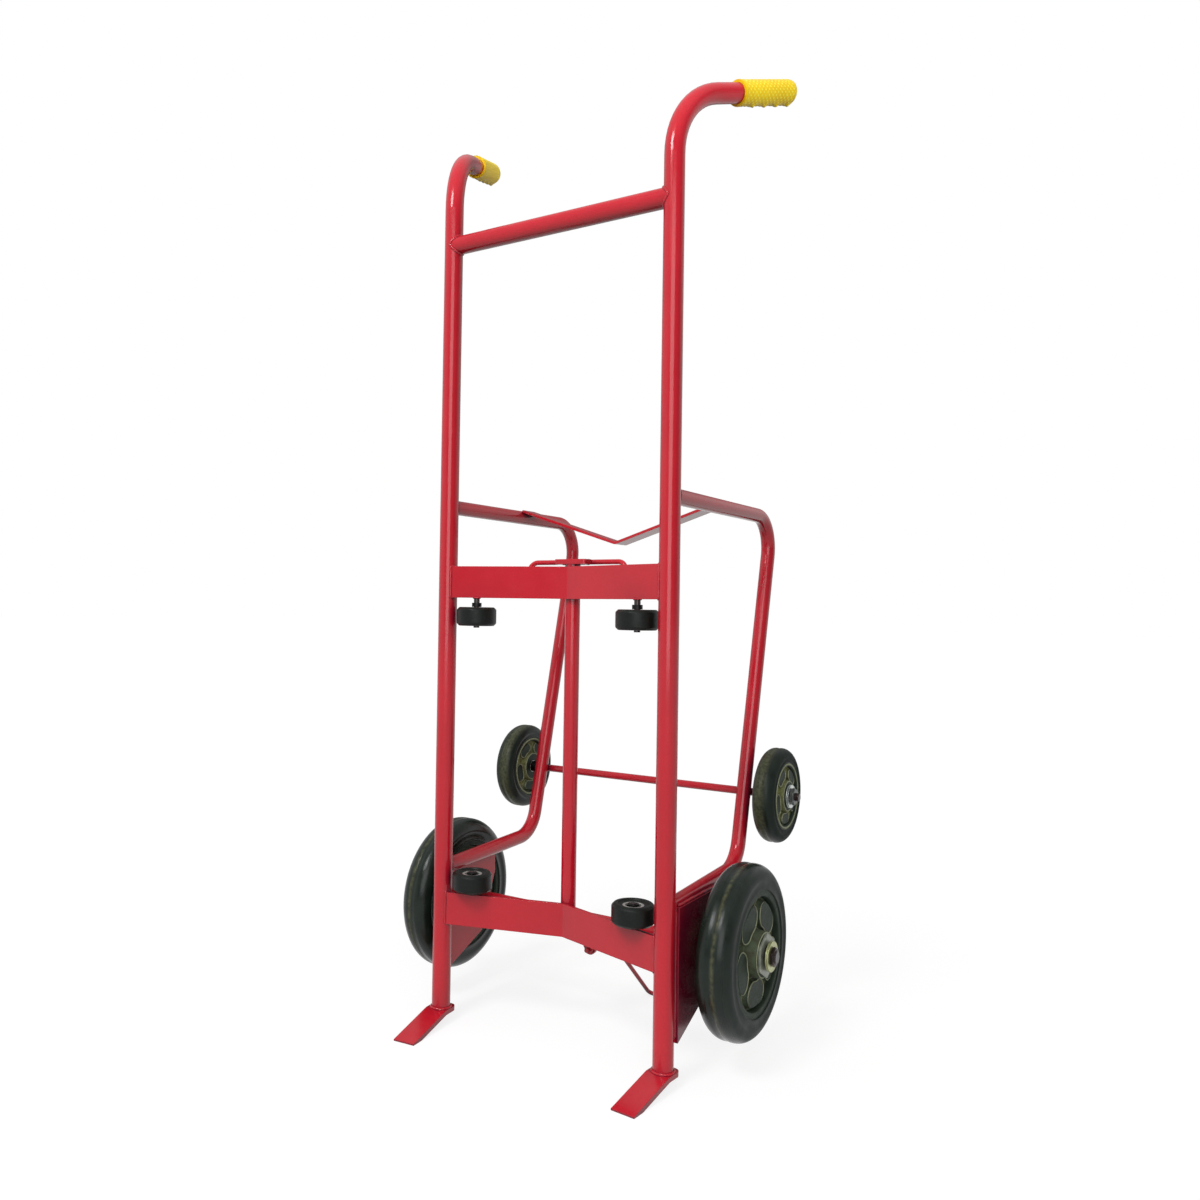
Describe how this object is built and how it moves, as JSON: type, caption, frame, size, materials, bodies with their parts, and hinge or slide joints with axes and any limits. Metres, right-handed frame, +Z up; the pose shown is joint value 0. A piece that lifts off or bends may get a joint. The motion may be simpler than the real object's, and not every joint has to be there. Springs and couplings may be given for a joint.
{
  "type": "drum hand truck",
  "caption": "Upright two-handled drum hand truck with large main wheels, small rear wheels for tilting, drum rollers on creased cradle bars, sliding chime hook and swing-down stand.",
  "frame": {"origin": "on the floor, in the middle of the truck's bounding box", "axes": "+Z up; -Y is the drum side with the toes; +X is to the right seen from the drum side"},
  "size_m": [0.6338, 0.5081, 1.4987],
  "materials": {
    "red_paint": "gloss red enamel on welded steel",
    "yellow_vinyl": "finely textured yellow vinyl",
    "tyre_rubber": "black moulded rubber",
    "wheel_core": "cast core with a dark coat",
    "roller_rubber": "black rubber",
    "bearing_steel": "turned steel",
    "zinc_plate": "bright zinc plate",
    "black_steel": "black oxide"
  },
  "bodies": {
    "frame": {"center_tube": "red_paint", "left_axle_plate": "red_paint", "left_grip": "yellow_vinyl", "left_rear_tube": "red_paint", "left_toe_plate": "red_paint", "left_upright": "red_paint", "lower_cradle_bar": "red_paint", "main_axle": "red_paint", "main_axle_flanges": "zinc_plate", "main_axle_nuts": "black_steel", "main_axle_spacers": "black_steel", "main_axle_washers": "zinc_plate", "main_flange_necks": "black_steel", "middle_cradle_bar": "red_paint", "rear_axle": "red_paint", "rear_axle_nuts": "zinc_plate", "rear_axle_spacers": "black_steel", "rear_axle_washers": "zinc_plate", "rear_v_brace": "red_paint", "right_axle_plate": "red_paint", "right_grip": "yellow_vinyl", "right_rear_tube": "red_paint", "right_toe_plate": "red_paint", "right_upright": "red_paint", "roller_collars": "black_steel", "roller_nuts": "black_steel", "roller_studs": "red_paint", "roller_washers": "zinc_plate", "stand_hanger": "red_paint", "upper_cross_tube": "red_paint"},
    "left_main_wheel": {"left_main_tyre": "tyre_rubber", "left_main_hub": "wheel_core", "left_main_bush": "bearing_steel"},
    "left_rear_wheel": {"left_rear_tyre": "tyre_rubber", "left_rear_hub": "wheel_core", "left_rear_bush": "bearing_steel"},
    "left_upper_drum_roller": {"left_upper_roller": "roller_rubber", "left_upper_roller_bush": "bearing_steel"},
    "left_lower_drum_roller": {"left_lower_roller": "roller_rubber", "left_lower_roller_bush": "bearing_steel"},
    "right_main_wheel": {"right_main_tyre": "tyre_rubber", "right_main_hub": "wheel_core", "right_main_bush": "bearing_steel"},
    "right_rear_wheel": {"right_rear_tyre": "tyre_rubber", "right_rear_hub": "wheel_core", "right_rear_bush": "bearing_steel"},
    "right_upper_drum_roller": {"right_upper_roller": "roller_rubber", "right_upper_roller_bush": "bearing_steel"},
    "right_lower_drum_roller": {"right_lower_roller": "roller_rubber", "right_lower_roller_bush": "bearing_steel"},
    "chime_hook": {"hook_post": "bearing_steel", "hook_plate": "red_paint", "hook_rod": "red_paint"},
    "stand": {"stand_leg": "red_paint", "stand_collars": "red_paint"}
  },
  "joints": [
    {"name": "left_main_wheel_spin", "type": "hinge", "parent": "frame", "child": "left_main_wheel", "pos_m": [-0.2645, -0.02333, 0.1692], "axis": [1, 0, 0], "continuous": true},
    {"name": "left_rear_wheel_spin", "type": "hinge", "parent": "frame", "child": "left_rear_wheel", "pos_m": [-0.24825, 0.15943, 0.37], "axis": [1, 0, 0], "continuous": true},
    {"name": "left_upper_roller_spin", "type": "hinge", "parent": "frame", "child": "left_upper_drum_roller", "pos_m": [-0.1445, -0.14298, 0.684], "axis": [0, 0, 1], "continuous": true},
    {"name": "left_lower_roller_spin", "type": "hinge", "parent": "frame", "child": "left_lower_drum_roller", "pos_m": [-0.1445, -0.14298, 0.2098], "axis": [0, 0, 1], "continuous": true},
    {"name": "right_main_wheel_spin", "type": "hinge", "parent": "frame", "child": "right_main_wheel", "pos_m": [0.2645, -0.02333, 0.1692], "axis": [1, 0, 0], "continuous": true},
    {"name": "right_rear_wheel_spin", "type": "hinge", "parent": "frame", "child": "right_rear_wheel", "pos_m": [0.24825, 0.15943, 0.37], "axis": [1, 0, 0], "continuous": true},
    {"name": "right_upper_roller_spin", "type": "hinge", "parent": "frame", "child": "right_upper_drum_roller", "pos_m": [0.1445, -0.14298, 0.684], "axis": [0, 0, 1], "continuous": true},
    {"name": "right_lower_roller_spin", "type": "hinge", "parent": "frame", "child": "right_lower_drum_roller", "pos_m": [0.1445, -0.14298, 0.2098], "axis": [0, 0, 1], "continuous": true},
    {"name": "hook_slide", "type": "slide", "parent": "frame", "child": "chime_hook", "axis": [0, 0, 1], "range_m": [0, 0.2]},
    {"name": "stand_swing", "type": "hinge", "parent": "frame", "child": "stand", "pos_m": [0.007, -0.02333, 0.122], "axis": [0, 1, 0], "range_deg": [0, 170]}
  ]
}
